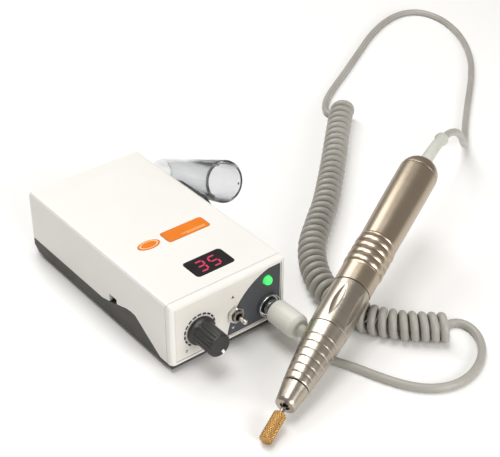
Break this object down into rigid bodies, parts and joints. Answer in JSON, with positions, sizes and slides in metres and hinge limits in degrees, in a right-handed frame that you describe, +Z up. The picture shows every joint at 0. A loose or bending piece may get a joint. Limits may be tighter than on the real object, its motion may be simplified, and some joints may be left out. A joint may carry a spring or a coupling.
{
  "type": "electric nail drill",
  "caption": "Desk control unit with speed knob, toggle and display, clear side holder, and a rotary handpiece on a curly cord.",
  "frame": {"origin": "under the middle of the object without its cord, on the surface that it stands on", "axes": "+Z up; the control unit's front panel faces -Y; +X towards its clear holder"},
  "size_m": [0.394, 0.3224, 0.0559],
  "materials": {
    "white_shell": "satin",
    "panel_white": "satin",
    "dark_shell": "fine texture",
    "inlay_grey": "matt",
    "black_plastic": "satin",
    "foot_rubber": "matt",
    "display_black": "gloss",
    "digit_red": "gloss",
    "badge_orange": "printed",
    "white_mark": "printed",
    "led_green": "clear dome",
    "bright_metal": "polished",
    "steel": "turned",
    "champagne_metal": "anodised satin",
    "brass_gold": "cross-cut",
    "copper_wire": "enamelled",
    "board_green": "solder mask",
    "clear_plastic": "clear",
    "plug_ivory": "satin",
    "cord_grey": "satin"
  },
  "bodies": {
    "base": {"badge_bar": "badge_orange", "badge_oval": "badge_orange", "base_tray": "dark_shell", "capacitor_1": "inlay_grey", "capacitor_2": "inlay_grey", "case_screw_1": "steel", "case_screw_2": "steel", "case_screw_3": "steel", "case_screw_4": "steel", "cord_coil": "cord_grey", "cord_to_handpiece": "cord_grey", "cord_to_plug": "cord_grey", "display_board": "board_green", "display_module": "digit_red", "display_window": "display_black", "foot_front_left": "foot_rubber", "foot_front_right": "foot_rubber", "foot_rear_left": "foot_rubber", "foot_rear_right": "foot_rubber", "front_bearing": "bright_metal", "front_bezel": "white_shell", "front_panel": "panel_white", "grip_cone": "champagne_metal", "handpiece_boot": "plug_ivory", "handpiece_socket": "black_plastic", "heat_sink": "steel", "main_board": "board_green", "motor_can": "steel", "motor_windings": "copper_wire", "nose_cap": "champagne_metal", "panel_inlay": "inlay_grey", "plug_boot": "plug_ivory", "plug_contact": "steel", "plug_sleeve": "plug_ivory", "potentiometer_nut": "steel", "power_inlet": "black_plastic", "rear_bearing": "bright_metal", "rear_cap": "champagne_metal", "rear_panel": "dark_shell", "rear_shell": "champagne_metal", "socket_ring": "bright_metal", "speed_potentiometer": "steel", "status_led": "led_green", "toggle_body": "black_plastic", "toggle_nut": "bright_metal", "upper_cover": "white_shell"},
    "knob": {"speed_knob": "black_plastic", "knob_pointer": "white_mark", "potentiometer_shaft": "steel"},
    "toggle": {"toggle_lever": "bright_metal"},
    "spindle_group": {"burr_head": "brass_gold", "burr_shank": "steel", "collet": "steel", "spindle": "steel", "drive_coupling": "black_plastic", "motor_rotor": "copper_wire"},
    "lock_sleeve": {"twist_sleeve": "champagne_metal"},
    "holder": {"handpiece_holder": "clear_plastic"}
  },
  "joints": [
    {"name": "speed_turn", "type": "hinge", "parent": "base", "child": "knob", "pos_m": [-0.0704, -0.03061, 0.0183], "axis": [0, -1, 0], "range_deg": [0, 300]},
    {"name": "direction_flip", "type": "hinge", "parent": "base", "child": "toggle", "pos_m": [-0.0494, -0.03161, 0.0176], "axis": [1, 0, 0], "range_deg": [-12, 12]},
    {"name": "spindle_spin", "type": "hinge", "parent": "base", "child": "spindle_group", "pos_m": [-0.06578, -0.08849, 0.00803], "axis": [0.8909, 0.3911, 0.2308], "continuous": true},
    {"name": "chuck_lock", "type": "hinge", "parent": "base", "child": "lock_sleeve", "pos_m": [-0.06578, -0.08849, 0.00803], "axis": [0.8909, 0.3911, 0.2308], "range_deg": [0, 60]},
    {"name": "holder_unclip", "type": "slide", "parent": "base", "child": "holder", "axis": [1, 0, 0], "range_m": [0, 0.012]}
  ]
}
